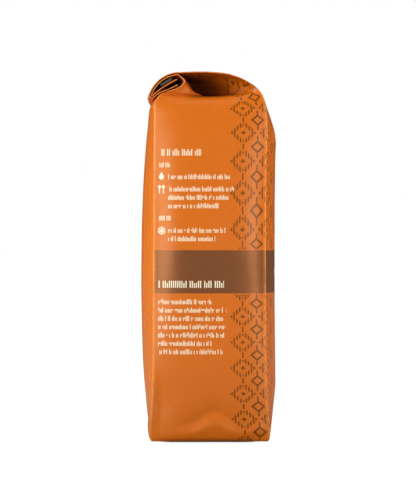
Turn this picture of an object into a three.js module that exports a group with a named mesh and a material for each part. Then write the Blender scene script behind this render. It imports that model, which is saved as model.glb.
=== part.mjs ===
// A side-gusset coffee bag of printed film, filled and standing, with its top rolled down towards
// the back over a flat tin tie. Millimetres, +Z up, the front panel faces -Y, origin at the middle
// of the base.
//
// The film is one closed surface. Its columns go round the bag and its rows run from the middle of
// the base, up the walls, over the shoulder and along the rolled top to the cut end. At each side
// the gusset tucks in above the rim and leaves an open pocket between the roof and the roll.

import * as THREE from "three";

const { clamp, degToRad, lerp, smoothstep } = THREE.MathUtils;

// Driving dimensions
const panelWidth = 84; // front and back panels, crease to crease
const gussetHalf = 32; // half of a side gusset, crease to its middle fold
const finThickness = 1.8; // four layers of film with the air between them
const slitThickness = 0.5; // air left between the two halves of a tucked gusset
const mouthGap = 1.9; // how far the lower leaf springs away at the sides of the cut end
const mouthSlip = 0.6; // how far that leaf's end slips back, for each millimetre of its gap
const finEdgeRadius = 0.7; // how far from its creased edge the rolled top reaches full thickness
const frontSwell = 6.7; // how far the filled front panel stands proud of its creases
const backSwell = 8.1;
const fullestHeight = 115; // where the back panel swells most
const roofLift = 1.7; // how far the middle of the roof stands above its ends
const rollBow = 2; // how far the middle of the roll lies behind its ends
const turnRadius = 1; // middle of the film pack where the roll turns under
const tieWidth = 7.6;
const tieThickness = 1.5;
const tieWireRadius = 0.95;
const tieTilt = degToRad(-30.6);
const tieCentre = { y: 24.2, z: 205.5 };
const tieInset = 0.6; // from the end of the roll to the end of the tie

const halfWidth = panelWidth / 2;

// The three crease lines of a side, at matching heights: front and back as [y, z], and the
// gusset's middle as [depth in from the end of the panels, y, z].
const stations = [
  { name: "base", front: [-33.9, 0], back: [32.6, 0], gusset: [1.2, 0, 0] },
  { name: "foot", front: [-35, 2], back: [33.6, 2], gusset: [-0.3, 0, 2] },
  { name: "shin", front: [-33.5, 26], back: [32.2, 26], gusset: [-1.7, 0, 26] },
  { name: "waist", front: [-32.6, 94], back: [31.5, 94], gusset: [-3.4, 0, 94] },
  { name: "chest", front: [-33, 160], back: [31.2, 160], gusset: [-3.4, 0, 160] },
  { name: "shoulder", front: [-33.5, 183], back: [31, 183.5], gusset: [-2.6, 0, 183] },
  { name: "bend", front: [-31.8, 196], back: [30.7, 194], gusset: [-1.2, 0, 193.8] },
  { name: "rim", front: [-28.2, 201.7], back: [27.8, 198.3], gusset: [2.4, 0, 197.2] },
  { name: "flap", front: [-20.2, 206.9], back: [23.8, 200], gusset: [12.2, 0.4, 197.4] },
  { name: "roof", front: [-11.4, 209.9], back: [19.4, 201.2], gusset: [21, 1.3, 198.6] },
  { name: "tuck", front: [-1.9, 211], back: [15.6, 203.2], gusset: [28.4, 3.4, 201.6] },
  { name: "fold", front: [7.7, 211.2], back: [13.8, 206.2], gusset: [31.2, 7.6, 206.8] },
  { name: "throat", front: [17.3, 210.8], back: [17.3, 209.7], gusset: [32, 17.3, 210.25] },
];
const rowsUpTo = { shin: 8, waist: 5, chest: 5, bend: 3, rim: 4, fold: 3, throat: 3 };
const rowsElsewhere = 2;
const rim = stations.findIndex((s) => s.name === "rim");
const throat = stations.length - 1;

const lineThrough = (points) => new THREE.CatmullRomCurve3(points, false, "centripetal");
const frontCrease = lineThrough(stations.map((s) => new THREE.Vector3(0, ...s.front)));
const backCrease = lineThrough(stations.map((s) => new THREE.Vector3(0, ...s.back)));
const gussetCrease = lineThrough(stations.map((s) => new THREE.Vector3(...s.gusset)));
const onLine = (line, station) => line.getPoint(station / throat);

// The middle of the rolled film, seen from the side: out over the back, round, and back under
// the first run to the cut end.
const outRun = new THREE.CubicBezierCurve(
  new THREE.Vector2(17.3, 210.25),
  new THREE.Vector2(23.6, 210.3),
  new THREE.Vector2(30.7, 205.4),
  new THREE.Vector2(33, 198.5),
);
const turnStart = degToRad(18.4);
const turnEnd = degToRad(-131);
const turnReach = new THREE.Vector2(Math.cos(turnStart), Math.sin(turnStart)).multiplyScalar(turnRadius);
const turnCentre = outRun.v3.clone().sub(turnReach);
const turn = new THREE.EllipseCurve(
  turnCentre.x, turnCentre.y, turnRadius, turnRadius, turnStart, turnEnd, true,
);
const returnRun = new THREE.QuadraticBezierCurve(
  turn.getPoint(1),
  new THREE.Vector2(27.2, 201.6),
  new THREE.Vector2(17.8, 206.6),
);
const rollRuns = [
  { curve: outRun, rows: 9 },
  { curve: turn, rows: 6 },
  { curve: returnRun, rows: 6 },
];

function filmRows() {
  const rows = [{ kind: "base", share: 0 }, { kind: "base", share: 0.5 }];
  for (let i = 0; i < throat; i += 1) {
    const count = rowsUpTo[stations[i + 1].name] ?? rowsElsewhere;
    for (let k = 0; k < count; k += 1) rows.push({ kind: "wall", station: i + k / count });
  }
  rows.push({ kind: "roll", curve: outRun, share: 0 });
  for (const { curve, rows: count } of rollRuns) {
    for (let k = 1; k <= count; k += 1) rows.push({ kind: "roll", curve, share: k / count });
  }
  rows.push({ kind: "end" });
  return rows;
}

// Distances in from a crease: a column stands wherever the gusset's diagonal fold crosses a row
function foldSteps(rows) {
  const steps = [0, finEdgeRadius];
  const tucked = rows.filter((row) => row.kind === "wall" && row.station >= rim);
  for (const { station } of tucked) {
    const depth = onLine(gussetCrease, station).x;
    if (depth - steps.at(-1) > 1.5 && gussetHalf - depth > 1) steps.push(depth);
  }
  return [...steps, gussetHalf];
}

// Columns of the film round the bag from the middle of the back
function filmColumns(steps) {
  const innerHalf = halfWidth - gussetHalf;
  const ends = steps.map((s) => s - halfWidth);
  const across = [...ends, -innerHalf / 2, 0, innerHalf / 2, ...ends.map((x) => -x).reverse()];
  const backHalf = across.filter((x) => x <= 0).reverse();
  const rising = steps.slice(1);
  const falling = steps.slice(0, -1).reverse();
  const gusset = (side, from, distances) => distances.map((s) => ({ panel: "gusset", side, from, s }));
  return [
    ...backHalf.map((x) => ({ panel: "back", x })),
    ...gusset(-1, "back", rising),
    ...gusset(-1, "front", falling),
    ...across.slice(1).map((x) => ({ panel: "front", x })),
    ...gusset(1, "front", rising),
    ...gusset(1, "back", falling),
    ...backHalf.slice(0, -1).reverse().map((x) => ({ panel: "back", x: -x })),
  ];
}

const isFront = (column) => (column.from ?? column.panel) === "front";
const fromCrease = (column) => (column.panel === "gusset" ? column.s : halfWidth - Math.abs(column.x));

// 0 at the creased ends of a panel and 1 in its middle
const bowed = (x) => 1 - Math.abs(x / halfWidth) ** 2.2;
// 0 at the creased edge of the rolled film and 1 where it has its full thickness
const opened = (s) => Math.sqrt(1 - (1 - Math.min(s / finEdgeRadius, 1)) ** 2);

const layerMiddle = (finThickness + slitThickness) / 4;
const layerHalf = (finThickness - slitThickness) / 4;

// How far the middle of the back stands out from its creases
function backFullness(height) {
  const above = Math.max(height - fullestHeight, 0);
  const below = Math.max(fullestHeight - height, 0);
  const filled = backSwell - 0.0007 * above ** 2 - 4.9e-8 * below ** 4;
  return lerp(Math.max(filled, 2), rollBow, smoothstep(height, 193, 198));
}

function frontFullness(height) {
  return frontSwell * smoothstep(height, -8, 34) * (1 - smoothstep(height, 166, 203));
}

// How far a panel's middle stands out from its creases, as [y, z]
function panelSwell(front, station) {
  if (!front) {
    const height = onLine(backCrease, station).z;
    return station > rim ? [rollBow, 0] : [backFullness(height), 0];
  }
  const rolled = rollBow * smoothstep(station, rim - 2, throat);
  const lift = smoothstep(station, rim - 1, rim + 2) * (1 - smoothstep(station, rim + 2, throat));
  return [rolled - frontFullness(onLine(frontCrease, station).z), roofLift * lift];
}

// A soft ridge over the gusset's folded foot, like a low tent, with a hollow above it
function footRidge(y, z) {
  const crest = 16 - 0.3 * Math.hypot(y + 2, 3);
  const across = Math.exp(-(((y + 2) / 22) ** 4));
  const ridge = 0.8 * Math.exp(-(((z - crest) / 3.4) ** 2));
  const hollow = 0.5 * Math.exp(-(((z - crest - 7) / 5) ** 2));
  return across * (ridge - hollow) * smoothstep(z, 2, 8);
}

// A gusset before it tucks in: nearly flat between its creases, rounded towards them
function wallGusset(crease, middle, along) {
  const rounded = 1 - (1 - along) ** 3.4;
  const sag = 1 - (1 - along) ** 2;
  return new THREE.Vector3(
    middle.x * rounded,
    lerp(crease.y, middle.y, along),
    lerp(crease.z, middle.z, sag),
  );
}

// A gusset that has tucked in: from its crease in under the roof, down at the diagonal fold, and
// then along the floor of the pocket to the gusset's middle
function tuckedGusset(crease, middle, along, front) {
  const diagonal = clamp(middle.x / gussetHalf, 0.02, 1);
  const depth = Math.min(along, diagonal) * gussetHalf;
  const inward = Math.min(along / diagonal, 1);
  const across = diagonal < 1 ? Math.max(along - diagonal, 0) / (1 - diagonal) : 0;
  const droop = inward ** (front ? 3 : 1.6);
  const cornerY = middle.y + (front ? -0.96 : 0.96) * gussetHalf * (1 - diagonal);
  const cornerZ = middle.z + (front ? 1 : 0.3) * (1 - diagonal);
  const legY = lerp(crease.y, cornerY, front ? droop : inward);
  const legZ = lerp(crease.z, cornerZ, droop);
  return new THREE.Vector3(depth, lerp(legY, middle.y, across), lerp(legZ, middle.z, across));
}

function wallPoint(column, station, target) {
  const front = isFront(column);
  const line = front ? frontCrease : backCrease;
  const crease = onLine(line, station);
  const ahead = line.getTangent(station / throat);
  const parting = layerHalf * opened(fromCrease(column)) * smoothstep(station, rim, rim + 2);
  const outward = front ? parting : -parting;
  if (column.panel !== "gusset") {
    const [swellY, swellZ] = panelSwell(front, station).map((v) => v * bowed(column.x));
    const y = crease.y + swellY - ahead.z * outward;
    return target.set(column.x, y, crease.z + swellZ + ahead.y * outward);
  }
  const middle = onLine(gussetCrease, station);
  const along = column.s / gussetHalf;
  const tucking = smoothstep(station, rim - 0.6, rim + 0.8);
  const p = wallGusset(crease, middle, along);
  p.lerp(tuckedGusset(crease, middle, along, front), tucking);
  const under = -outward * clamp((gussetHalf - column.s) / 4, 0, 1);
  const bow = rollBow * bowed(halfWidth - Math.max(p.x, 0)) * smoothstep(station, rim, throat);
  const x = column.side * (halfWidth - p.x + footRidge(p.y, p.z));
  return target.set(x, p.y + bow - ahead.z * under, p.z + ahead.y * under);
}

// Where a column of film lies in the thickness of the roll; each pair closes at the cut end
function layerOffset(column, sealed) {
  const inward = fromCrease(column);
  const side = isFront(column) ? 1 : -1;
  if (inward >= gussetHalf) return column.panel === "gusset" || sealed ? 0 : side * (finThickness / 2);
  if (sealed) return side * layerMiddle;
  const outward = column.panel === "gusset" ? -1 : 1;
  return side * (layerMiddle + outward * layerHalf * opened(inward));
}

// How far open the cut end is: wholly at its sides, not at all where the gussets end
function mouthOpening(column, share) {
  return smoothstep(share, 0.1, 1) * (1 - smoothstep(fromCrease(column), 5, 26));
}

function rollPoint(column, curve, share, sealed, target) {
  const middle = curve.getPoint(share);
  const ahead = curve.getTangent(share);
  const x = column.panel === "gusset" ? column.side * (halfWidth - column.s) : column.x;
  const sprung = curve === returnRun && isFront(column) ? mouthGap * mouthOpening(column, share) : 0;
  const offset = layerOffset(column, sealed) + sprung;
  const y = middle.x + rollBow * bowed(x) - ahead.x * mouthSlip * sprung;
  const z = middle.y - ahead.y * mouthSlip * sprung;
  return target.set(x, y - ahead.y * offset, z + ahead.x * offset);
}

function filmPoint(column, row, target) {
  if (row.kind === "base") return wallPoint(column, 0, target).multiplyScalar(row.share);
  if (row.kind === "wall") return wallPoint(column, row.station, target);
  if (row.kind === "end") return rollPoint(column, returnRun, 1, true, target);
  return rollPoint(column, row.curve, row.share, false, target);
}

// Two triangles for each cell, divided along the way a gusset folds
function filmFaces(rows, columns) {
  const faces = [];
  for (let i = 0; i < rows.length - 1; i += 1) {
    for (let j = 0; j < columns.length - 1; j += 1) {
      const a = i * columns.length + j;
      const d = a + columns.length;
      const rising = fromCrease(columns[j + 1]) > fromCrease(columns[j]);
      if (rising) faces.push(a, a + 1, d + 1, a, d + 1, d);
      else faces.push(a, a + 1, d, a + 1, d + 1, d);
    }
  }
  return faces;
}

function bagFilm() {
  const rows = filmRows();
  const columns = filmColumns(foldSteps(rows));
  const at = (row, column) => filmPoint(column, row, new THREE.Vector3()).toArray();
  const positions = rows.flatMap((row) => columns.flatMap((column) => at(row, column)));
  const geometry = new THREE.BufferGeometry();
  geometry.setAttribute("position", new THREE.Float32BufferAttribute(positions, 3));
  geometry.setIndex(filmFaces(rows, columns));
  geometry.computeVertexNormals();
  const film = new THREE.MeshStandardMaterial({ color: 0xd36f22, roughness: 0.42, metalness: 0 });
  const mesh = new THREE.Mesh(geometry, film);
  mesh.name = "bag";
  return mesh;
}

// A flat coated strip with a wire along each edge, laid in the roll and bowed with it
function tinTie() {
  const half = tieWidth / 2 - tieWireRadius;
  const neck = Math.asin(tieThickness / 2 / tieWireRadius);
  const section = new THREE.Shape();
  section.absarc(half, 0, tieWireRadius, neck - Math.PI, Math.PI - neck, false);
  section.absarc(-half, 0, tieWireRadius, neck, 2 * Math.PI - neck, false);
  const length = panelWidth - 2 * tieInset;
  const geometry = new THREE.ExtrudeGeometry(section, {
    depth: length, steps: 12, bevelEnabled: false, curveSegments: 6,
  });
  geometry.translate(0, 0, -length / 2);
  geometry.rotateX(Math.PI / 2).rotateZ(Math.PI / 2).rotateX(tieTilt);
  geometry.translate(0, tieCentre.y, tieCentre.z);
  const at = geometry.getAttribute("position");
  for (let i = 0; i < at.count; i += 1) at.setY(i, at.getY(i) + rollBow * bowed(at.getX(i)));
  const coating = new THREE.MeshStandardMaterial({ color: 0x3a3532, roughness: 0.6, metalness: 0 });
  const mesh = new THREE.Mesh(geometry, coating);
  mesh.name = "tin_tie";
  return mesh;
}

const coffeeBag = new THREE.Group();
coffeeBag.add(bagFilm(), tinTie());

export default coffeeBag;
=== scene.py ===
"""A filled side-gusset coffee bag of printed film, standing, with its top rolled over a tin tie.

The film starts as one flat printed web. Every point of it is then folded to its place: out from
the middle of the base, up the walls, in at the gussets, over the roof and round the roll. Its UV
map keeps the flat web's millimetres, so the print follows the film wherever it goes.
"""

import math

import bpy
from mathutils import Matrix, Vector, noise


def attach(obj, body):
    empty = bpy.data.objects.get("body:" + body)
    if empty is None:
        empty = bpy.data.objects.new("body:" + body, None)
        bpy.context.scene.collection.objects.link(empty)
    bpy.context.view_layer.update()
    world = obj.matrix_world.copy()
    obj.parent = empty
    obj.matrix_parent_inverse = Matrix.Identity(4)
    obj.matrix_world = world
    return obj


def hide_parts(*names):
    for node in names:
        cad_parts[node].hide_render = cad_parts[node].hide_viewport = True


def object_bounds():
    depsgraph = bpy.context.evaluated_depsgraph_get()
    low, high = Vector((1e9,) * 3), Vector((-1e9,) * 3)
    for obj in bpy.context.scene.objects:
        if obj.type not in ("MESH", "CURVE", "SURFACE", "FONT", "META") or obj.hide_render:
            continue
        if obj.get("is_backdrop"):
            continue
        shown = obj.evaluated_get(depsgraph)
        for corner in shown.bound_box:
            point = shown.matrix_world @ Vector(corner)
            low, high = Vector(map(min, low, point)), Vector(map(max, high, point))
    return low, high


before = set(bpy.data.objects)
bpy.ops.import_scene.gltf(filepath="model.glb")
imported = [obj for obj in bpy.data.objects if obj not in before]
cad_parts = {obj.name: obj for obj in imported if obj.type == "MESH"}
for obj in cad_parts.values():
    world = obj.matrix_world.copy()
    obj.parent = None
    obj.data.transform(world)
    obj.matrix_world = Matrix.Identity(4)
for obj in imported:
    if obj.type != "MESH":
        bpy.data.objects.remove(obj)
cad_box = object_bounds()

MM = 0.001

# The pouch, in millimetres: front panel towards -Y, camera side towards -X
PANEL = 84.0  # front and back panels, crease to crease
HALF = PANEL / 2
GUSSET = 32.0  # half of a side gusset
FIN = 1.8  # the rolled top's four layers with their air
SLIT = 0.5  # between the two halves of a tucked gusset
MOUTH = 1.9  # how far the lower leaf springs away at the sides of the cut end
MOUTH_SLIP = 0.6  # how far that leaf's end slips back, for each millimetre of its gap
FIN_EDGE = 0.7  # how far in from a crease the rolled film has its full thickness
FRONT_SWELL = 6.7  # how far a panel's middle stands out where it is fullest
BACK_SWELL = 8.1
FULLEST = 115.0  # height of the back's fullest part
ROOF_LIFT = 1.7  # how far the roof's middle rises above its creases
ROLL_BOW = 2.0  # how far the rolled top bows back in its middle
TURN = 1.0  # radius of the turn that the roll takes round the tie
TIE_CENTRE = (24.2, 205.5)
TIE_TILT = math.radians(-30.6)
TIE_LENGTH = 82.8
TIE_WIDTH = 7.6
TIE_THICKNESS = 1.5
TIE_WIRE = 0.95  # radius of the coated wire in each edge
TIE_RIB = 0.76  # from one rib to the next
TIE_GROOVE = 0.14  # how deep it is between them
TIE_LINES, TIE_SLICES = 40, 28  # how finely the strip is cut, across and along
POCKET_LIP = 27.0  # the back gusset's lean over the pocket's mouth, before it fades up the roof
SEAM_STEP = 0.35  # the back seam's free edge, and where it lies
SEAM_EDGE = 5.0
FOOT_LINE = 9.2  # height of the gusset foot's folded line, and how much higher its peak is
FOOT_PEAK = 7.4
FOOT_SUNK = 1.5  # how deep the film sinks along that line, and how proud the roll below it is
FOOT_ROLL = 0.45

# Crease lines of a side at matching heights: front y, z; back y, z; gusset depth, y, z
STATIONS = [
    ("base", (-33.9, 0), (32.6, 0), (1.2, 0, 0)),
    ("foot", (-35, 2), (33.6, 2), (-0.3, 0, 2)),
    ("shin", (-33.5, 26), (32.2, 26), (-1.7, 0, 26)),
    ("waist", (-32.6, 94), (31.5, 94), (-3.4, 0, 94)),
    ("chest", (-33, 160), (31.2, 160), (-3.4, 0, 160)),
    ("shoulder", (-33.5, 183), (31, 183.5), (-2.6, 0, 183)),
    ("bend", (-31.8, 196), (30.7, 194), (-1.2, 0, 193.8)),
    ("rim", (-28.2, 201.7), (27.8, 198.3), (2.4, 0, 197.2)),
    ("flap", (-20.2, 206.9), (23.8, 200), (12.2, 0.4, 197.4)),
    ("roof", (-11.4, 209.9), (19.4, 201.2), (21, 1.3, 198.6)),
    ("tuck", (-1.9, 211), (15.6, 203.2), (28.4, 3.4, 201.6)),
    ("fold", (7.7, 211.2), (13.8, 206.2), (31.2, 7.6, 206.8)),
    ("throat", (17.3, 210.8), (17.3, 209.7), (32, 17.3, 210.25)),
]
ROWS_IN_BASE = 14
ROWS_UP_TO = dict(foot=5, shin=17, waist=34, chest=33, shoulder=14, bend=12, rim=10)
ROWS_IN_TOP = 12  # from each station above the rim to the next
ROWS_IN_ROLL = (26, 12, 20)  # out, round and back
RIM = [s[0] for s in STATIONS].index("rim")
THROAT = len(STATIONS) - 1


def lerp(a, b, t):
    return a + (b - a) * t


def smoothstep(x, low, high):
    t = min(max((x - low) / (high - low), 0.0), 1.0)
    return t * t * (3 - 2 * t)


def soft_min(a, b, radius):
    near = max(radius - abs(a - b), 0.0) / radius
    return min(a, b) - near * near * radius / 4


def hill(x, width, power=2):
    """1 at x = 0, falling smoothly to nothing past width."""
    return math.exp(-(abs(x / width) ** power))


class Crease:
    """A smooth line through points, read by station: 0 at the first point, 1 at the next."""

    def __init__(self, points):
        self.points = [Vector(p) for p in points]
        self.last = len(points) - 1

    def at(self, station):
        i = min(int(station), self.last - 1)
        p = self.points
        start, end = p[i], p[i + 1]
        before = p[i - 1] if i else start * 2 - end
        after = p[i + 2] if i + 2 <= self.last else end * 2 - start
        steps = [(b - a).length ** 0.5 for a, b in ((before, start), (start, end), (end, after))]
        leave = (start - before) / steps[0] - (end - before) / (steps[0] + steps[1])
        leave = (leave + (end - start) / steps[1]) * steps[1]
        arrive = (end - start) / steps[1] - (after - start) / (steps[1] + steps[2])
        arrive = (arrive + (after - end) / steps[2]) * steps[1]
        w = station - i
        bend = (start - end) * 2 + leave + arrive
        sway = (end - start) * 3 - leave * 2 - arrive
        return start + w * (leave + w * (sway + w * bend))

    def ahead(self, station):
        step = 0.01
        low, high = max(station - step, 0), min(station + step, self.last)
        return (self.at(high) - self.at(low)).normalized()


FRONT_CREASE = Crease([(0, *s[1]) for s in STATIONS])
BACK_CREASE = Crease([(0, *s[2]) for s in STATIONS])
GUSSET_CREASE = Crease([s[3] for s in STATIONS])


# The rolled top seen from the side, as (y, z): out over the back, round, and back to the cut end
OUT_CURVE = ((17.3, 210.25), (23.6, 210.3), (30.7, 205.4), (33.0, 198.5))
TURN_ANGLES = (18.4, -131)
RETURN_BEND = (27.2, 201.6)
CUT_END = (17.8, 206.6)


def out_run(t):
    weights = ((1 - t) ** 3, 3 * t * (1 - t) ** 2, 3 * t * t * (1 - t), t**3)
    return sum((Vector(p) * w for p, w in zip(OUT_CURVE, weights)), Vector((0, 0)))


def turn(t):
    start, end = (math.radians(angle) for angle in TURN_ANGLES)
    centre = out_run(1) - TURN * Vector((math.cos(start), math.sin(start)))
    angle = lerp(start, end, t)
    return centre + TURN * Vector((math.cos(angle), math.sin(angle)))


def return_run(t):
    start, middle, end = turn(1), Vector(RETURN_BEND), Vector(CUT_END)
    return start * (1 - t) ** 2 + middle * 2 * t * (1 - t) + end * t * t


def ahead_on(run, t):
    low, high = max(t - 0.01, 0), min(t + 0.01, 1)
    return (run(high) - run(low)).normalized()


# What is where on the film


def bowed(x):
    """0 at the creased ends of a panel and 1 in its middle."""
    return 1 - abs(x / HALF) ** 2.2


def opened(s):
    """0 at the creased edge of the rolled film and 1 where it has its full thickness."""
    return math.sqrt(1 - (1 - min(s / FIN_EDGE, 1)) ** 2)


def back_fullness(height):
    """Less and less full above and below the fullest height, and flat where the roll begins."""
    above, below = max(height - FULLEST, 0), max(FULLEST - height, 0)
    filled = BACK_SWELL - 0.0007 * above**2 - 4.9e-8 * below**4
    return lerp(max(filled, 2), ROLL_BOW, smoothstep(height, 193, 198))


def front_fullness(height):
    """Even up the wall, and gone at the foot and over the shoulder."""
    return FRONT_SWELL * smoothstep(height, -8, 34) * (1 - smoothstep(height, 171, 206))


def panel_swell(front, station):
    """How far a panel's middle stands out from its creases, as y, z."""
    if not front:
        height = BACK_CREASE.at(station).z
        return (ROLL_BOW, 0) if station > RIM else (back_fullness(height), 0)
    rolled = ROLL_BOW * smoothstep(station, RIM - 2, THROAT)
    lift = smoothstep(station, RIM - 1, RIM + 2) * (1 - smoothstep(station, RIM + 2, THROAT))
    return rolled - front_fullness(FRONT_CREASE.at(station).z), ROOF_LIFT * lift


def foot_ridge(y, z, s):
    """The gusset's folded foot: film sunk along a peaked line, with a soft roll below it."""
    line = FOOT_LINE + FOOT_PEAK * hill(y + 3.4, 9.6)
    away = math.hypot(z - line, 0.9) - 0.9
    sunk = hill(away, 5.5, 1) if z > line else hill(away, 2.4, 1)
    roll = hill(z - line + 6.4, 3.4)
    relief = (FOOT_ROLL * roll - FOOT_SUNK * sunk) * hill(y + 3, 19, 4)
    dent = 1.3 * hill(math.hypot(y - 33, z - 21), 15)
    heel = 0.7 * hill(math.hypot(y + 27, z - 5), 6)
    return (relief - dent + heel) * smoothstep(z, 1.5, 7) * smoothstep(s, 0, 5)


def slack(x, y, z):
    """Broad shallow waves that filled film never quite loses."""
    broad = noise.noise(Vector((x, y, z * 0.6)) / 26)
    fine = noise.noise(Vector((x, y, z)) / 9)
    return 0.3 * broad + 0.05 * fine


def seam_height(x):
    """The back's lap seam: it rises softly from one side and ends in a cut edge on the other."""
    return SEAM_STEP * smoothstep(x, -9, -3) * (1 - smoothstep(x, SEAM_EDGE, SEAM_EDGE + 0.3))


def pocket_lip(column, station):
    """How far the back gusset leans over the pocket's mouth, towards the front."""
    if column.front:
        return 0
    rising = smoothstep(station, RIM - 0.2, RIM + 1)
    along = rising * min(max((THROAT - 1 - station) / 4, 0), 1) ** 1.6
    return POCKET_LIP * along * smoothstep(column.s, 0, 6) * hill(column.s - 9, 9)


def wall_gusset(crease, middle, s):
    along = s / GUSSET
    depth = middle.x * (1 - (1 - along) ** 3.4)
    height = lerp(crease.z, middle.z, 1 - (1 - along) ** 2)
    return Vector((depth, lerp(crease.y, middle.y, along), height))


def tucked_gusset(crease, middle, s, front):
    """In under the roof, down at the diagonal fold, then along the floor of the pocket."""
    reach = min(max(middle.x, 0.6), GUSSET)
    corner = min(3.0, reach)
    depth = soft_min(s, reach, corner)
    inward = depth / soft_min(GUSSET, reach, corner)
    across = (s - depth) / max(GUSSET - soft_min(GUSSET, reach, corner), 1e-6)
    floor = 1 - reach / GUSSET
    droop = inward ** (5 if front else 1.6)
    corner_y = middle.y + (-0.96 if front else 0.96) * GUSSET * floor
    corner_z = middle.z + (1 if front else 0.3) * floor
    leg_y = lerp(crease.y, corner_y, droop if front else inward)
    leg_z = lerp(crease.z, corner_z, droop)
    return Vector((depth, lerp(leg_y, middle.y, across), lerp(leg_z, middle.z, across)))


class Column:
    """One line of film up the bag: its panel, the crease it counts from, its place on the web."""

    def __init__(self, panel, front, x, s, web):
        self.panel, self.front, self.x, self.s, self.web = panel, front, x, s, web
        self.side = -1 if x < 0 else 1


def fold_steps():
    """Distances in from a crease, close together where the film turns the corner."""
    steps = [0, 0.3, 0.7, 1.3, 2.1, 3.1]
    count = 24
    return steps + [lerp(3.1, GUSSET, (i + 1) / count) for i in range(count)]


def film_columns():
    """From the back crease nearest the camera, round by the front, and back to it."""
    steps = fold_steps()
    inner = HALF - GUSSET
    middle = [lerp(-inner, inner, i / 12) for i in range(1, 12)]
    across = [s - HALF for s in steps] + middle + [HALF - s for s in reversed(steps)]
    columns = [Column("gusset", False, -HALF, s, s) for s in steps]
    columns += [Column("gusset", True, -HALF, s, 2 * GUSSET - s) for s in reversed(steps[1:-1])]
    columns += [Column("panel", True, x, HALF - abs(x), 2 * GUSSET + HALF + x) for x in across]
    web = 2 * GUSSET + PANEL
    columns += [Column("gusset", True, HALF, s, web + s) for s in steps[1:]]
    web += 2 * GUSSET
    columns += [Column("gusset", False, HALF, s, web - s) for s in reversed(steps[:-1])]
    seam = [-SEAM_EDGE - step for step in (0.3, 0.2, 0.1)]
    back = sorted([*across[1:], *seam])
    columns += [Column("panel", False, -x, HALF - abs(x), web + HALF + x) for x in back]
    return columns


def wall_point(column, station):
    """Where a column lies at a station, from the base to the throat of the roll."""
    line = FRONT_CREASE if column.front else BACK_CREASE
    crease, ahead = line.at(station), line.ahead(station)
    parting = (FIN - SLIT) / 4 * opened(column.s) * smoothstep(station, RIM, RIM + 2)
    outward = parting if column.front else -parting
    filled = smoothstep(column.s, 0.5, 7) * smoothstep(station, 1, 1.6)
    filled *= 1 - smoothstep(station, RIM - 1, RIM + 1)
    if column.panel == "panel":
        swell_y, swell_z = (v * bowed(column.x) for v in panel_swell(column.front, station))
        proud = filled * slack(column.x, crease.y, crease.z)
        if not column.front:
            proud += seam_height(column.x) * smoothstep(station, 0, 1)
        y = crease.y + swell_y - ahead.z * outward + (-proud if column.front else proud)
        return Vector((column.x, y, crease.z + swell_z + ahead.y * outward))
    middle = GUSSET_CREASE.at(station)
    tucking = smoothstep(station, RIM - 0.6, RIM + 0.8)
    p = wall_gusset(crease, middle, column.s)
    p = p.lerp(tucked_gusset(crease, middle, column.s, column.front), tucking)
    under = -outward * min((GUSSET - column.s) / 4, 1)
    bow = ROLL_BOW * bowed(HALF - max(p.x, 0)) * smoothstep(station, RIM, THROAT)
    proud = foot_ridge(p.y, p.z, column.s) + filled * slack(column.side * HALF, p.y, p.z)
    x = column.side * (HALF - p.x + proud)
    lip = pocket_lip(column, station)
    return Vector((x, p.y + bow - lip - ahead.z * under, p.z + ahead.y * under))


def layer_offset(column, sealed):
    """Where a column lies in the thickness of the roll; each pair closes at the cut end."""
    side = 1 if column.front else -1
    if column.s >= GUSSET:
        return 0 if column.panel == "gusset" or sealed else side * FIN / 2
    middle, half = (FIN + SLIT) / 4, (FIN - SLIT) / 4
    outward = 1 if column.panel == "panel" else -1
    return side * (middle if sealed else middle + outward * half * opened(column.s))


def mouth_opening(column, t):
    """How far open the cut end is: wholly at its sides, not at all where the gussets end."""
    return smoothstep(t, 0.1, 1) * (1 - smoothstep(column.s, 5, 26))


def roll_point(column, run, t, sealed):
    middle, ahead = run(t), ahead_on(run, t)
    x = column.side * (HALF - column.s) if column.panel == "gusset" else column.x
    sprung = MOUTH * mouth_opening(column, t) if run is return_run and column.front else 0
    offset = layer_offset(column, sealed) + sprung
    middle = middle - ahead * MOUTH_SLIP * sprung
    y = middle.x + ROLL_BOW * bowed(x)
    return Vector((x, y - ahead.y * offset, middle.y + ahead.x * offset))


class Row:
    """One ring of film: how to place a column on it, and its height on the flat web."""

    def __init__(self, place, height):
        self.place, self.height = place, height


def base_rows(count):
    spread = -FRONT_CREASE.at(0).y
    for i in range(count):
        share = i / count
        yield Row(lambda c, share=share: wall_point(c, 0) * share, (share - 1) * spread)


def wall_rows():
    """Heights on the web follow the front crease, and match the bag's own up to the shoulder."""
    height = 0.0
    for i in range(THROAT):
        count = ROWS_UP_TO.get(STATIONS[i + 1][0], ROWS_IN_TOP)
        for k in range(count):
            station = i + k / count
            yield Row(lambda c, at=station: wall_point(c, at), height)
            height += (FRONT_CREASE.at(station + 1 / count) - FRONT_CREASE.at(station)).length


def roll_rows(height):
    for run, count in zip((out_run, turn, return_run), ROWS_IN_ROLL):
        for k in range(count):
            yield Row(lambda c, run=run, t=k / count: roll_point(c, run, t, False), height)
            height += (run((k + 1) / count) - run(k / count)).length
    yield Row(lambda c: roll_point(c, return_run, 1, False), height)
    yield Row(lambda c: roll_point(c, return_run, 1, True), height)


def film_rows():
    rows = [*base_rows(ROWS_IN_BASE), *wall_rows()]
    step = (FRONT_CREASE.at(THROAT) - FRONT_CREASE.at(THROAT - 1 / ROWS_IN_TOP)).length
    return rows + list(roll_rows(rows[-1].height + step))


# Small tools for hand modelling


def deselect_everything():
    if bpy.context.object and bpy.context.object.mode != "OBJECT":
        bpy.ops.object.mode_set(mode="OBJECT")
    bpy.ops.object.select_all(action="DESELECT")


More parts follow.
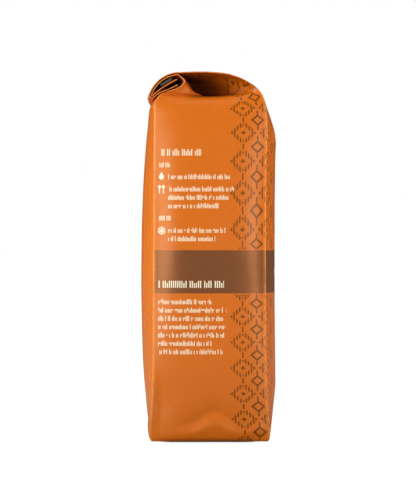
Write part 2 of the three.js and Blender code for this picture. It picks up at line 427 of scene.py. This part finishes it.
def mesh_tool(piece, operator, **settings):
    """Runs an edit-mode operator on all of a piece."""
    deselect_everything()
    bpy.context.view_layer.objects.active = piece
    piece.select_set(True)
    bpy.ops.object.mode_set(mode="EDIT")
    bpy.ops.mesh.select_all(action="SELECT")
    operator(**settings)
    bpy.ops.object.mode_set(mode="OBJECT")


def lay_flat_web(columns, rows):
    """The film as a flat grid, one corner for each column and row, with its print's UV map."""
    deselect_everything()
    across, up = len(columns) - 1, len(rows) - 1
    bpy.ops.mesh.primitive_grid_add(x_subdivisions=across, y_subdivisions=up, size=1)
    web = bpy.context.object
    web.name = web.data.name = "printed_film"
    spot = {}
    for vertex in web.data.vertices:
        column = round((vertex.co.x + 0.5) * across)
        row = round((vertex.co.y + 0.5) * up)
        spot[vertex.index] = (columns[column], rows[row])
    print_map = web.data.uv_layers[0]
    print_map.name = "web"
    for loop in web.data.loops:
        column, row = spot[loop.vertex_index]
        print_map.data[loop.index].uv = (column.web, row.height)
    return web, spot


def fold_web(web, spot):
    """Moves every corner to its place, then closes the tube, the base and the cut end."""
    for vertex in web.data.vertices:
        column, row = spot[vertex.index]
        vertex.co = row.place(column) * MM
    mesh_tool(web, bpy.ops.mesh.remove_doubles, threshold=2e-6)
    mesh_tool(web, bpy.ops.mesh.normals_make_consistent, inside=False)
    deselect_everything()
    web.select_set(True)
    bpy.context.view_layer.objects.active = web
    bpy.ops.object.shade_smooth()


def make_film():
    web, spot = lay_flat_web(film_columns(), film_rows())
    fold_web(web, spot)
    return web


film = make_film()
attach(film, "root")
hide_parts("bag")


# The tin tie


def select_where(piece, wanted):
    """Edit mode, with just the corners picked that pass the test."""
    bpy.ops.object.mode_set(mode="EDIT")
    bpy.ops.mesh.select_all(action="DESELECT")
    bpy.ops.object.mode_set(mode="OBJECT")
    for vertex in piece.data.vertices:
        vertex.select = wanted(vertex.co)
    bpy.ops.object.mode_set(mode="EDIT")


def cut_across(places, axis):
    """Bisects the whole piece at each place along an axis."""
    for place in places:
        bpy.ops.mesh.select_all(action="SELECT")
        bpy.ops.mesh.bisect(plane_co=axis * place * MM, plane_no=axis)


def tie_half_thickness(across):
    """Half the thickness of the coated strip: a wire in each edge, and fine ribs lengthwise."""
    middle_of_wire = TIE_WIDTH / 2 - TIE_WIRE
    off = abs(abs(across) - middle_of_wire)
    wire = math.sqrt(max(TIE_WIRE**2 - off**2, 0.02))  # never quite a knife edge
    strip = TIE_THICKNESS / 2 if abs(across) < middle_of_wire else 0
    return max(wire, strip) - TIE_GROOVE / 2 * (1 - math.cos(2 * math.pi * across / TIE_RIB))


def make_tie():
    """A block 1 mm above and below its middle, sliced, and each line resized to its thickness."""
    deselect_everything()
    bpy.ops.mesh.primitive_cube_add(size=1)
    tie = bpy.context.object
    tie.name = tie.data.name = "tin_tie_strip"
    tie.scale = (TIE_LENGTH * MM, TIE_WIDTH * MM, 2 * MM)
    bpy.ops.object.transform_apply(scale=True)
    lines = [lerp(-TIE_WIDTH / 2, TIE_WIDTH / 2, i / TIE_LINES) for i in range(TIE_LINES + 1)]
    slices = [lerp(-TIE_LENGTH / 2, TIE_LENGTH / 2, i / TIE_SLICES) for i in range(TIE_SLICES + 1)]
    bpy.ops.object.mode_set(mode="EDIT")
    cut_across(lines[1:-1], Vector((0, 1, 0)))
    cut_across(slices[1:-1], Vector((1, 0, 0)))
    for line in lines:
        select_where(tie, lambda co, line=line: abs(co.y / MM - line) < 0.01)
        bpy.ops.transform.resize(value=(1, 1, tie_half_thickness(line)), center_override=(0, 0, 0))
    bpy.ops.object.mode_set(mode="OBJECT")
    tie.rotation_euler = (TIE_TILT, 0, 0)
    tie.location = (0, TIE_CENTRE[0] * MM, TIE_CENTRE[1] * MM)
    bpy.ops.object.transform_apply(location=True, rotation=True, scale=True)
    for place in slices:
        select_where(tie, lambda co, place=place: abs(co.x / MM - place) < 0.01)
        bpy.ops.transform.translate(value=(0, ROLL_BOW * bowed(place) * MM, 0))
    bpy.ops.object.mode_set(mode="OBJECT")
    bpy.ops.object.shade_smooth_by_angle(angle=math.radians(50))
    return tie


tie = make_tie()
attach(tie, "root")
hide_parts("tin_tie")


# Materials


class Formula:
    """Adds nodes to a tree and wires them, so that a pattern reads as a formula."""

    def __init__(self, tree):
        self.tree = tree

    def node(self, kind, **settings):
        made = self.tree.nodes.new(kind)
        for name, value in settings.items():
            setattr(made, name, value)
        return made

    def join(self, value, socket):
        if isinstance(value, bpy.types.NodeSocket):
            self.tree.links.new(value, socket)
        else:
            socket.default_value = value

    def math(self, operation, *values):
        made = self.node("ShaderNodeMath", operation=operation)
        for value, socket in zip(values, made.inputs):
            self.join(value, socket)
        return made.outputs[0]

    def add(self, a, b):
        return self.math("ADD", a, b)

    def less(self, a, b):
        return self.math("SUBTRACT", a, b)

    def times(self, a, b):
        return self.math("MULTIPLY", a, b)

    def over(self, a, b):
        return self.math("DIVIDE", a, b)

    def size(self, a):
        return self.math("ABSOLUTE", a)

    def wrap(self, a, half):
        """a repeated every 2 half, counted from the middle of each stretch."""
        return self.math("WRAP", a, half, -half)

    def near(self, a, centre, reach):
        return self.math("COMPARE", a, centre, reach)

    def below(self, a, limit):
        return self.math("LESS_THAN", a, limit)

    def above(self, a, limit):
        return self.math("GREATER_THAN", a, limit)

    def both(self, *masks):
        whole = masks[0]
        for mask in masks[1:]:
            whole = self.times(whole, mask)
        return whole

    def either(self, *masks):
        whole = masks[0]
        for mask in masks[1:]:
            whole = self.math("MAXIMUM", whole, mask)
        return whole

    def but(self, mask, hole):
        return self.both(mask, self.less(1, hole))

    def fade(self, value, none, full):
        """0 at none and 1 at full, smooth between."""
        made = self.node("ShaderNodeMapRange", interpolation_type="SMOOTHSTEP")
        for name, level in (("Value", value), ("From Min", none), ("From Max", full)):
            self.join(level, made.inputs[name])
        return made.outputs["Result"]

    def diamond(self, x, y, wide, high):
        """0 at the middle of a diamond and 1 on its edge."""
        return self.add(self.over(self.size(x), wide), self.over(self.size(y), high))

    def disc(self, x, y, wide, high):
        """0 at the middle of an ellipse and 1 on its edge."""
        x, y = self.over(x, wide), self.over(y, high)
        return self.math("SQRT", self.add(self.times(x, x), self.times(y, y)))

    def plaque(self, x, y, wide, high, corner):
        """A block of half sizes wide and high with rounded corners."""
        x = self.math("MAXIMUM", self.less(self.size(x), wide - corner), 0)
        y = self.math("MAXIMUM", self.less(self.size(y), high - corner), 0)
        return self.below(self.disc(x, y, corner, corner), 1)

    def turned(self, x, y, degrees):
        along, across = math.cos(math.radians(degrees)), math.sin(math.radians(degrees))
        return (
            self.add(self.times(x, along), self.times(y, across)),
            self.less(self.times(y, along), self.times(x, across)),
        )

    def mix(self, amount, under, over, kind="RGBA"):
        made = self.node("ShaderNodeMix", data_type=kind)
        for name, value in (("Factor", amount), ("A", under), ("B", over)):
            self.join(value, made.inputs[name])
        return made.outputs["Result"]

    def blend(self, amount, under, over):
        """mix for plain numbers."""
        return self.mix(amount, under, over, "FLOAT")

    def split(self, vector):
        made = self.node("ShaderNodeSeparateXYZ")
        self.join(vector, made.inputs[0])
        return made.outputs

    def place(self):
        return self.node("ShaderNodeTexCoord").outputs["Object"]

    def cloud(self, place, scale, detail=2, kind="FBM"):
        made = self.node("ShaderNodeTexNoise", noise_type=kind)
        self.join(place, made.inputs["Vector"])
        made.inputs["Scale"].default_value = scale
        made.inputs["Detail"].default_value = detail
        return made.outputs["Fac"]

    def chance(self, *seeds):
        """A fixed random number of 0 to 1 for each set of seeds."""
        place = self.node("ShaderNodeCombineXYZ")
        for seed, socket in zip(seeds, place.inputs):
            self.join(seed, socket)
        dice = self.node("ShaderNodeTexWhiteNoise", noise_dimensions="3D")
        self.join(place.outputs[0], dice.inputs["Vector"])
        return dice.outputs["Value"]

    def group(self, tree, **values):
        made = self.node("ShaderNodeGroup", node_tree=tree)
        for name, value in values.items():
            self.join(value, made.inputs[name])
        return made.outputs

    def bump(self, height, distance, strength, under=None):
        made = self.node("ShaderNodeBump")
        self.join(height, made.inputs["Height"])
        made.inputs["Distance"].default_value = distance
        made.inputs["Strength"].default_value = strength
        if under is not None:
            self.join(under, made.inputs["Normal"])
        return made.outputs["Normal"]


def new_group(name, inputs, outputs):
    tree = bpy.data.node_groups.new(name, "ShaderNodeTree")
    for label in inputs:
        kind = "NodeSocketVector" if label == "Place" else "NodeSocketFloat"
        tree.interface.new_socket(label, in_out="INPUT", socket_type=kind)
    for label in outputs:
        tree.interface.new_socket(label, in_out="OUTPUT", socket_type="NodeSocketFloat")
    source = tree.nodes.new("NodeGroupInput")
    sink = tree.nodes.new("NodeGroupOutput")
    return tree, Formula(tree), source.outputs, sink.inputs


def new_material(name):
    material = bpy.data.materials.new(name)
    material.use_nodes = True
    return material, Formula(material.node_tree), material.node_tree.nodes["Principled BSDF"]


def colour(red, green, blue):
    """A screen colour of 0 to 255 as the linear one that a shader takes."""
    channels = [c / 255 for c in (red, green, blue)]
    return (*(c / 12.92 if c < 0.04045 else ((c + 0.055) / 1.055) ** 2.4 for c in channels), 1)


ORANGE = colour(213, 107, 18)
DEEP_ORANGE = colour(204, 98, 15)
# paler orange along the sharp creases: partly stress-whitening wear, partly a painted highlight
PALE_CREASE_AND_HIGHLIGHT = colour(236, 146, 70)
# painted shade for the film deep in the pocket under the roof, where it lies in shadow
POCKET_PAINTED_SHADE = colour(92, 38, 6)
BROWN = colour(126, 74, 38)
INK = colour(122, 64, 0)
CREAM = colour(250, 238, 218)
BRONZE = colour(146, 89, 56)
TIE_COATING = colour(64, 59, 55)
TIE_SMUDGE = colour(78, 73, 68)
TIE_DUST = colour(92, 86, 80)

# The print on the web, in millimetres: across from the back crease, and up from the floor
BAND_MIDDLE = 97.4
BAND_HALF = 12.3
BORDER_STOP = 12.9  # how near the border comes to the band's middle
END_DASHES = 13.5  # how far from it a short row of dashes ends the border
BORDER_EDGE = 51  # the middle of the border's first column of lozenges
BORDER_COLUMN = 7.86  # from a column of lozenges to the next column of diamonds
BORDER_PITCH = 17.4  # height that the motifs are drawn at, before the rows stretch them
LOZENGES = (58.6, 15.2)  # middle and half width of the ground that each motif covers
DIAMONDS = (63, 15.5)
DASH_STEP = 1.58
DASH_HALF = 0.43
LOWER_MIDDLE, LOWER_PITCH = 71.9, 14.7  # one lozenge below the band, and the pitch there
STRETCH_FROM, STRETCH = 121.3, 78.7  # the wall above the band, where the pitch closes up
RULE_PITCH = 5.6  # from line to line of the back's ruled panel
FAR_WORDS = 45.7  # the far side's words count back from here, so that they run the same way
POCKET_FLOOR = 199  # where the film goes in under the roof
CRIMPED_FROM = 262  # where the crimps of the sealed end begin


def handled_surface():
    """Fine tooth and the smudges that handling leaves, for film and tie alike."""
    marks = ("Tooth", "Smudge")
    tree, f, given, result = new_group("handled surface", ("Place", *marks), marks)
    tooth = f.cloud(given["Place"], 1900, 3)
    f.join(f.times(tooth, given["Tooth"]), result["Tooth"])
    smudge = f.fade(f.cloud(given["Place"], 38, 4), 0.25, 0.8)
    f.join(f.times(smudge, given["Smudge"]), result["Smudge"])
    return tree


def lozenge_border():
    """Columns of dashed lozenges with small open diamonds between them; Row counts the lozenges."""
    tree, f, given, result = new_group(
        "lozenge border", ("Across", "Row"), ("Lozenges", "Diamonds")
    )
    x = f.wrap(given["Across"], BORDER_COLUMN)
    y = f.times(f.wrap(given["Row"], 0.5), BORDER_PITCH)
    edge = f.add(f.size(x), f.size(y))
    dashes = f.below(f.size(f.wrap(x, DASH_STEP / 2)), DASH_HALF)
    ring = f.both(f.near(edge, 6.2, 1.55), dashes, f.below(f.size(x), 5.4))
    ring = f.but(ring, f.both(f.below(f.size(x), DASH_STEP / 2), f.above(f.size(y), 5.6)))
    tips = f.both(f.below(f.add(f.size(x), f.times(f.size(y), 1.1)), 7.1), f.above(f.size(x), 5.7))
    heart = f.either(
        f.below(f.disc(f.less(f.size(x), 0.75), y, 0.52, 0.52), 1),
        f.below(f.disc(x, f.less(f.size(y), 0.75), 0.52, 0.52), 1),
        f.below(edge, 0.8),
    )
    gap = f.less(BORDER_PITCH / 2, f.size(y))
    link = f.both(f.below(f.size(x), DASH_HALF), f.below(gap, 1.85))
    f.join(f.either(ring, tips, heart, link), result["Lozenges"])
    x = f.wrap(f.less(given["Across"], BORDER_COLUMN), BORDER_COLUMN)
    y = f.times(f.wrap(f.less(given["Row"], 0.5), 0.5), BORDER_PITCH)
    open_diamond = f.near(f.diamond(x, y, 3.9, 4.0), 0.8, 0.21)
    gap = f.less(BORDER_PITCH / 2, f.size(y))
    stem = f.both(f.below(f.size(x), DASH_HALF), f.above(f.size(y), 3.9), f.above(gap, 2.0))
    f.join(f.either(open_diamond, stem), result["Diamonds"])
    return tree


LINE_NUMBERS = ("Left", "Top", "Height", "End", "Tall")


def word_lines():
    """A line of upright ticks that stands for words: their weight and gaps, but no letters."""
    tree, f, given, result = new_group("word lines", ("Across", "Along", *LINE_NUMBERS), ("Ink",))
    drop = f.over(f.less(given["Top"], given["Along"]), given["Height"])
    pitch = f.less(f.times(given["Height"], 0.37), 0.28)
    tick = f.over(f.less(given["Across"], given["Left"]), pitch)
    which = f.math("FLOOR", tick)
    stroke = f.near(f.math("FRACT", tick), 0.5, 0.27)
    tall = f.below(f.chance(which, given["Top"], 1), given["Tall"])
    head = f.less(0.3, f.times(0.3, tall))
    short = f.above(f.chance(which, given["Top"], 2), f.add(0.84, f.times(0.2, given["Tall"])))
    foot = f.less(1, f.times(0.36, short))
    word = f.node("ShaderNodeTexVoronoi", voronoi_dimensions="1D", feature="DISTANCE_TO_EDGE")
    word.inputs["Randomness"].default_value = 0.7
    f.join(f.add(f.over(which, 8.5), f.times(given["Top"], 3.7)), word.inputs["W"])
    gap = f.below(word.outputs["Distance"], 0.075)
    centre = f.times(f.add(given["Left"], given["End"]), 0.5)
    reach = f.times(f.less(given["End"], given["Left"]), 0.5)
    on_line = f.near(given["Across"], centre, reach)
    inside = f.both(on_line, f.above(drop, head), f.below(drop, foot))
    f.join(f.both(stroke, f.less(1, gap), inside), result["Ink"])
    return tree


HANDLED = handled_surface()
BORDER = lozenge_border()
WORD_LINES = word_lines()


def words(f, across, along, lines):
    """A column of lines of words, from the top down; each line's numbers hold below its top."""
    starts = [f.below(along, line[1]) for line in lines[1:]]
    chosen = []
    for numbers in zip(*lines):
        level = numbers[0]
        for start, before, after in zip(starts, numbers, numbers[1:]):
            if after != before:
                level = f.math("MULTIPLY_ADD", start, after - before, level)
        chosen.append(level)
    line = dict(zip(LINE_NUMBERS, chosen))
    return f.group(WORD_LINES, Across=across, Along=along, **line)["Ink"]


def drop_icon(f, x, y):
    """A water drop: a round foot and a point above it."""
    point = f.both(f.below(f.add(f.times(f.size(x), 1.9), y), 2.4), f.above(y, -0.6))
    return f.either(f.below(f.disc(x, f.add(y, 0.6), 1.5, 1.5), 1), point)


def scoop_icon(f, x, y):
    """Two small measuring scoops side by side."""
    x = f.less(f.size(x), 1.15)
    bowl = f.below(f.disc(x, f.less(y, 1.5), 0.85, 1.05), 1)
    handle = f.both(f.below(f.size(x), 0.28), f.near(y, -0.7, 1.6))
    return f.either(bowl, handle)


def star_icon(f, x, y):
    """A six-armed frost star."""
    arms = []
    for angle in (90, 30, 150):
        run, sway = f.turned(x, y, angle)
        sway = f.size(sway)
        arms.append(f.both(f.below(sway, 0.26), f.below(f.size(run), 2.3)))
        barb = f.near(f.size(run), f.add(1.2, sway), 0.25)
        arms.append(f.both(barb, f.below(sway, 0.9)))
    return f.either(*arms)


def bean(f, x, y, turn):
    """A coffee bean, with the wavy furrow down its middle left open."""
    x, y = f.turned(x, y, turn)
    furrow = f.below(f.size(f.less(x, f.math("SINE", f.times(y, 0.42)))), 0.55)
    return f.but(f.below(f.disc(x, y, 5.2, 7.6), 1), furrow)


# Lines of words are left edge, top, height, right end and the share of tall ticks
SMALL, CAPITALS = 0.27, 0.85


def paragraph(left, top, pitch, height, ends):
    return [(left, top - pitch * i, height, end, SMALL) for i, end in enumerate(ends)]


GUSSET_WORDS = [
    (3.1, 167.3, 3.7, 27.7, CAPITALS),
    (3.1, 159.7, 2.7, 9.4, CAPITALS),
    (8.3, 153.1, 2.9, 44.9, SMALL),
    *paragraph(8.3, 146.1, 4.8, 2.9, (46.2, 43.2, 37.5)),
    (3.1, 129.4, 2.7, 10, CAPITALS),
    *paragraph(8.3, 122.5, 4.75, 2.9, (41.5, 35.7)),
    (2.8, 92.3, 4.0, 40.6, CAPITALS),
    *paragraph(2.8, 81.8, 4.75, 2.9, (33.5, 42, 40.3, 41.2, 40.6, 34.3, 39.8)),
]
FRONT_WORDS = [
    (-12, 139.5, 3.6, 12, CAPITALS),
    *paragraph(-10, 132.6, 4.6, 2.6, (10, 8)),
    (-19, 99.9, 5.2, 19, CAPITALS),
    *paragraph(-11, 74, 5, 2.9, (11, 8, 10)),
    (-8, 22, 3.0, 8, SMALL),
]
BACK_WORDS = [
    (-35, 166, 3.7, -17, CAPITALS),
    *paragraph(-35, 157, 4.8, 2.7, (-12, -10, -11, -18)),
]
PANEL_ENDS = (-17, -22, -19, -14, -20, -24, -18, -15, -21, -17, -23)
PANEL_ROWS = paragraph(-32.5, 123, RULE_PITCH, 2.3, PANEL_ENDS)
ICONS = ((drop_icon, 4.5, 152.2), (scoop_icon, 4.5, 144.4), (star_icon, 4.7, 120.9))


def gusset_marks(f, across, along):
    icons = [icon(f, f.less(across, x), f.less(along, z)) for icon, x, z in ICONS]
    return f.both(f.either(words(f, across, along, GUSSET_WORDS), *icons), f.near(across, 23.5, 23))


def front_marks(f, x, along):
    """Two beans in a framed panel above the band, and words on and round it."""
    centre = f.less(along, 146)
    outer = f.but(f.plaque(x, centre, 25, 27, 7), f.plaque(x, centre, 24.1, 26.1, 6.1))
    inner = f.but(f.plaque(x, centre, 23, 25, 5.2), f.plaque(x, centre, 22.5, 24.5, 4.8))
    left = bean(f, f.add(x, 6), f.less(along, 156), 28)
    right = bean(f, f.less(x, 6), f.less(along, 155), -24)
    return words(f, x, along, FRONT_WORDS), f.either(outer, inner, left, right)


def back_marks(f, x, along):
    """Words and a ruled panel on the half away from the camera, clear of the seam."""
    across, down = f.add(x, 22.5), f.less(along, 90)
    panel = f.plaque(across, down, 13, 36, 1.2)
    below_rule = f.math("FRACT", f.over(f.less(127.6, along), RULE_PITCH))
    rules = f.both(f.below(below_rule, 0.1), f.below(f.size(across), 11.4))
    rules = f.both(rules, f.plaque(across, down, 12, 35, 1))
    rim = f.but(f.plaque(across, down, 12.3, 35.3, 1), f.plaque(across, down, 11.8, 34.8, 0.8))
    rows = f.either(rules, rim, words(f, x, along, PANEL_ROWS))
    return f.either(panel, words(f, x, along, BACK_WORDS)), f.both(panel, rows)


def border_rows(f, along):
    """Counts the border's lozenges up the film: evenly below the band, closing up above it."""
    up = f.less(along, STRETCH_FROM)
    middle = f.math("MINIMUM", f.math("MAXIMUM", up, 0), STRETCH)
    row = f.times(middle, f.math("MULTIPLY_ADD", middle, 0.000194, 0.0435))
    row = f.math("MULTIPLY_ADD", f.math("MINIMUM", up, 0), 0.0625, row)
    row = f.math("MULTIPLY_ADD", f.math("MAXIMUM", f.less(up, STRETCH), 0), 0.0735, row)
    lower = f.over(f.less(along, LOWER_MIDDLE), LOWER_PITCH)
    return f.blend(f.above(along, BAND_MIDDLE), lower, row)


def printed_film(f, around, along):
    """The printed colours, and masks of the band and the cream ink, at a place on the web."""
    front_middle = 2 * GUSSET + HALF
    back_middle = 4 * GUSSET + PANEL + HALF
    x = f.less(around, front_middle)
    across = f.less(front_middle, f.size(x))
    motifs = f.group(BORDER, Across=f.less(across, BORDER_EDGE), Row=border_rows(f, along))
    lozenges = f.both(motifs["Lozenges"], f.near(across, *LOZENGES))
    diamonds = f.both(motifs["Diamonds"], f.near(across, *DIAMONDS))
    off_band = f.size(f.less(along, BAND_MIDDLE))
    ends = f.both(f.near(off_band, END_DASHES, 0.45), f.near(across, BORDER_EDGE, 2.1))
    dashes = f.below(f.size(f.wrap(f.less(across, BORDER_EDGE), DASH_STEP / 2)), 0.46)
    border = f.either(lozenges, diamonds, f.both(ends, dashes))
    border = f.both(border, f.above(off_band, BORDER_STOP))
    band = f.both(f.below(off_band, BAND_HALF), f.above(across, 0))

    side = f.blend(f.above(x, 0), across, f.less(FAR_WORDS, across))
    gusset = gusset_marks(f, side, along)
    on_front = f.above(across, 2 * GUSSET)
    front_cream, front_ink = front_marks(f, x, along)
    back_cream, back_ink = back_marks(f, f.less(around, back_middle), along)
    on_back = f.below(across, 0)
    gusset = f.but(f.but(gusset, on_front), on_back)
    cream = f.either(gusset, f.both(front_cream, on_front), f.both(back_cream, on_back))
    border = f.either(border, f.both(front_ink, on_front))

    paint = f.mix(f.times(border, 0.97), ORANGE, INK)
    paint = f.mix(band, paint, BRONZE)
    paint = f.mix(f.times(cream, 0.95), paint, CREAM)
    return f.mix(f.both(back_ink, on_back), paint, BROWN), band, cream, across


def crease_marks(f, around, across, along):
    """1 along the sharp folds of the web, and small puckers that run off them."""
    fold = f.size(f.wrap(f.less(f.size(across), GUSSET), GUSSET))
    at_back = f.size(f.add(across, PANEL))
    nearest = f.math("MINIMUM", f.less(GUSSET, fold), at_back)
    sharp = f.fade(nearest, 1.6, 0.4)
    lengthwise = f.node("ShaderNodeCombineXYZ")
    f.join(f.times(around, 0.35), lengthwise.inputs["X"])
    f.join(along, lengthwise.inputs["Y"])
    pucker = f.cloud(lengthwise.outputs[0], 0.55, 2, "RIDGED_MULTIFRACTAL")
    return sharp, f.times(pucker, f.fade(nearest, 9, 0.5))


def film_material():
    material, f, shader = new_material("satin_printed_film")
    web = f.split(f.node("ShaderNodeUVMap", uv_map="web").outputs[0])
    around, along = web["X"], web["Y"]
    paint, band, cream, across = printed_film(f, around, along)
    sharp, pucker = crease_marks(f, around, across, along)
    handled = f.group(HANDLED, Place=f.place(), Tooth=1.0, Smudge=1.0)

    mottle = f.fade(f.cloud(f.place(), 26, 3), 0.3, 0.7)
    paint = f.mix(f.times(mottle, 0.08), paint, f.mix(f.either(band, cream), DEEP_ORANGE, paint))
    # Paler along the sharp creases: partly whitened wear, partly a painted highlight where the
    # rounded crease catches the light.
    crease_wear_and_painted_highlight = f.times(sharp, f.fade(f.cloud(f.place(), 240, 4), 0.1, 0.6))
    paint = f.mix(f.times(crease_wear_and_painted_highlight, 0.5), paint, PALE_CREASE_AND_HIGHLIGHT)
    # painted shade: the film deep in the tucked gusset, past the pocket floor, is darkened towards
    # a shadow colour where the pocket lies in shade
    in_depth = f.fade(f.size(f.less(across, GUSSET)), 18, 7)
    tucked = f.times(in_depth, f.fade(along, POCKET_FLOOR, POCKET_FLOOR + 7))
    f.join(f.mix(f.times(tucked, 0.85), paint, POCKET_PAINTED_SHADE), shader.inputs["Base Color"])

    roughness = f.add(0.26, f.times(handled["Smudge"], 0.03))
    roughness = f.add(roughness, f.times(band, 0.03))
    inside = f.both(f.near(across, 20, 20), f.fade(along, POCKET_FLOOR, POCKET_FLOOR + 9))
    roughness = f.add(roughness, f.times(inside, 0.2))
    f.join(f.add(roughness, f.times(cream, 0.06)), shader.inputs["Roughness"])
    f.join(f.times(f.but(band, cream), 0.5), shader.inputs["Metallic"])

    soft = f.bump(f.cloud(f.place(), 60, 2), 0.0008, 0.04)
    creased = f.bump(f.add(pucker, f.times(sharp, 0.6)), 0.0002, 0.3, soft)
    at_end = f.fade(along, CRIMPED_FROM, CRIMPED_FROM + 2)
    crimps = f.both(f.math("SINE", f.times(along, 5.2)), at_end)
    ribbed = f.bump(crimps, 0.00008, 0.7, creased)
    f.join(f.bump(handled["Tooth"], 0.00002, 0.2, ribbed), shader.inputs["Normal"])
    return material


film.data.materials.append(film_material())


def tie_material():
    material, f, shader = new_material("ribbed_tie_coating")
    handled = f.group(HANDLED, Place=f.place(), Tooth=1.0, Smudge=1.0)
    dust = f.fade(f.cloud(f.place(), 420, 4), 0.45, 0.7)
    coat = f.mix(handled["Smudge"], TIE_COATING, TIE_SMUDGE)
    f.join(f.mix(f.times(dust, 0.3), coat, TIE_DUST), shader.inputs["Base Color"])
    f.join(f.add(0.42, f.times(handled["Smudge"], 0.14)), shader.inputs["Roughness"])
    f.join(f.bump(handled["Tooth"], 0.00006, 0.5), shader.inputs["Normal"])
    return material


tie.data.materials.append(tie_material())


# Stage, lights and camera, in metres

# painted shadow colour of the floor: the dark line round the bag's foot, and the shade near the bag
# that the film sees
FLOOR_PAINTED_SHADOW = (0.07, 0.07, 0.07, 1)
PALE = (0.75, 0.75, 0.7, 1)
WHITE = (1, 1, 1, 1)
SHADED = 0.2  # how far from the bag's middle the floor's painted shade has faded and the floor is fully pale again
FOOTPRINT = (0.036, 0.02)  # half sizes of the block that the painted contact shadow, a dark line, runs round
LINE_FADE = (0.006, 0.013)  # where the painted shadow line begins and ends to fade, out from that block


def lay_floor():
    """White to the camera but for a painted contact shadow, a dark line where the bag meets it, and
    dim to the film, with painted shade round the bag.
    """
    deselect_everything()
    bpy.ops.mesh.primitive_plane_add(size=40)
    floor = bpy.context.object
    floor.name = "floor"
    material, f, shader = new_material("pale_floor")
    x, y, _ = f.split(f.place())
    path = f.node("ShaderNodeLightPath").outputs
    dimmed = f.math("MAXIMUM", f.times(path["Is Glossy Ray"], 0.75), path["Is Camera Ray"])
    # painted shade: to the film the floor is dark near the bag and pale only further out, and
    # dimmed in its reflections
    floor_past_painted_shade = f.but(f.fade(f.disc(x, y, 1, 1), 0, SHADED), dimmed)
    f.join(f.mix(floor_past_painted_shade, FLOOR_PAINTED_SHADOW, PALE), shader.inputs["Base Color"])
    shader.inputs["Roughness"].default_value = 0.9
    shader.inputs["Specular IOR Level"].default_value = 0.0
    shader.inputs["Emission Color"].default_value = WHITE
    # painted contact shadow: to the camera the floor's glow fades out close round the bag's foot,
    # leaving a dark line
    x, y = (f.math("MAXIMUM", f.less(f.size(v), half), 0) for v, half in zip((x, y), FOOTPRINT))
    beyond_painted_shadow = f.fade(f.disc(x, y, 1, 1), *LINE_FADE)
    f.join(f.times(path["Is Camera Ray"], beyond_painted_shadow), shader.inputs["Emission Strength"])
    floor.data.materials.append(material)
    floor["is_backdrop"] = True


WARM = (1, 0.94, 0.66)
COOL = (0.91, 1, 1.04)
AIM = 0.12  # height that every soft box is turned to

# Name, degrees off the camera's axis towards the back, height and distance, the box's width and
# height, how brightly it glows, and its tint
SOFT_BOXES = (
    ("left_strip", 29, 0.145, 1.25, 0.46, 0.29, 5.0, WARM),
    ("middle_strip", -4, 0.145, 1.25, 0.05, 0.29, 1.2, WARM),
    ("right_strip", -25, 0.145, 1.25, 0.2, 0.29, 6.6, WARM),
    ("left_wall", 78, 0.45, 1.1, 1.0, 0.9, 5.8, COOL),
    ("right_wall", -78, 0.45, 1.1, 1.0, 0.9, 3.8, WARM),
    ("top_front", 0, 1.3, 0.7, 0.9, 0.7, 0.6, WARM),
)


def soft_box(name, off_axis, height, distance, wide, high, glow, tint):
    bearing = math.radians(off_axis)
    data = bpy.data.lights.new(name, "AREA")
    data.shape = "RECTANGLE"
    data.size, data.size_y = wide, high
    data.energy = glow * math.pi * wide * high
    data.color = tint
    lamp = bpy.data.objects.new(name, data)
    bpy.context.scene.collection.objects.link(lamp)
    out, aside = distance * math.cos(bearing), distance * math.sin(bearing)
    lamp.location = (-HALF * MM - out, aside, height)
    aim = Vector((-HALF * MM, 0, AIM)) - lamp.location
    lamp.rotation_euler = aim.to_track_quat("-Z", "Y").to_euler()


def grey(level):
    return (level, level, level, 1)


def light_studio():
    """White to the camera, and a dim studio with soft boxes in front, at both sides and above."""
    world = bpy.data.worlds.new("studio")
    bpy.context.scene.world = world
    world.use_nodes = True
    f = Formula(world.node_tree)
    backdrop = world.node_tree.nodes["Background"]
    path = f.node("ShaderNodeLightPath").outputs
    up = f.split(f.node("ShaderNodeTexCoord").outputs["Generated"])["Z"]
    dome = f.mix(f.fade(up, 0, 0.6), grey(0.13), grey(0.4))
    film_sees = f.mix(path["Is Glossy Ray"], dome, grey(0.04))
    f.join(f.mix(path["Is Camera Ray"], film_sees, WHITE), backdrop.inputs["Color"])
    for box in SOFT_BOXES:
        soft_box(*box)


CAMERA_DISTANCE = 0.926  # out from the near gusset
CAMERA_HEIGHT = 0.1123
CAMERA_ASIDE = 0.0003
VIEW_HEIGHT = 0.28  # what the frame takes in at that gusset
SENSOR = 24  # millimetres


def place_camera():
    """Level, square to the near gusset, with the long lens of a pack shot."""
    data = bpy.data.cameras.new("camera")
    camera = bpy.data.objects.new("camera", data)
    bpy.context.scene.collection.objects.link(camera)
    camera.location = (-HALF * MM - CAMERA_DISTANCE, CAMERA_ASIDE, CAMERA_HEIGHT)
    camera.rotation_euler = (math.pi / 2, 0, -math.pi / 2)
    data.sensor_fit = "VERTICAL"
    data.sensor_height = SENSOR
    data.lens = SENSOR * CAMERA_DISTANCE / VIEW_HEIGHT
    data.clip_end = 100
    bpy.context.scene.camera = camera


lay_floor()
light_studio()
place_camera()
bpy.context.scene.view_settings.view_transform = "Standard"

boxes = {"cad": cad_box, "visual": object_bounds()}
{name: [list(corner) for corner in box] for name, box in boxes.items()}
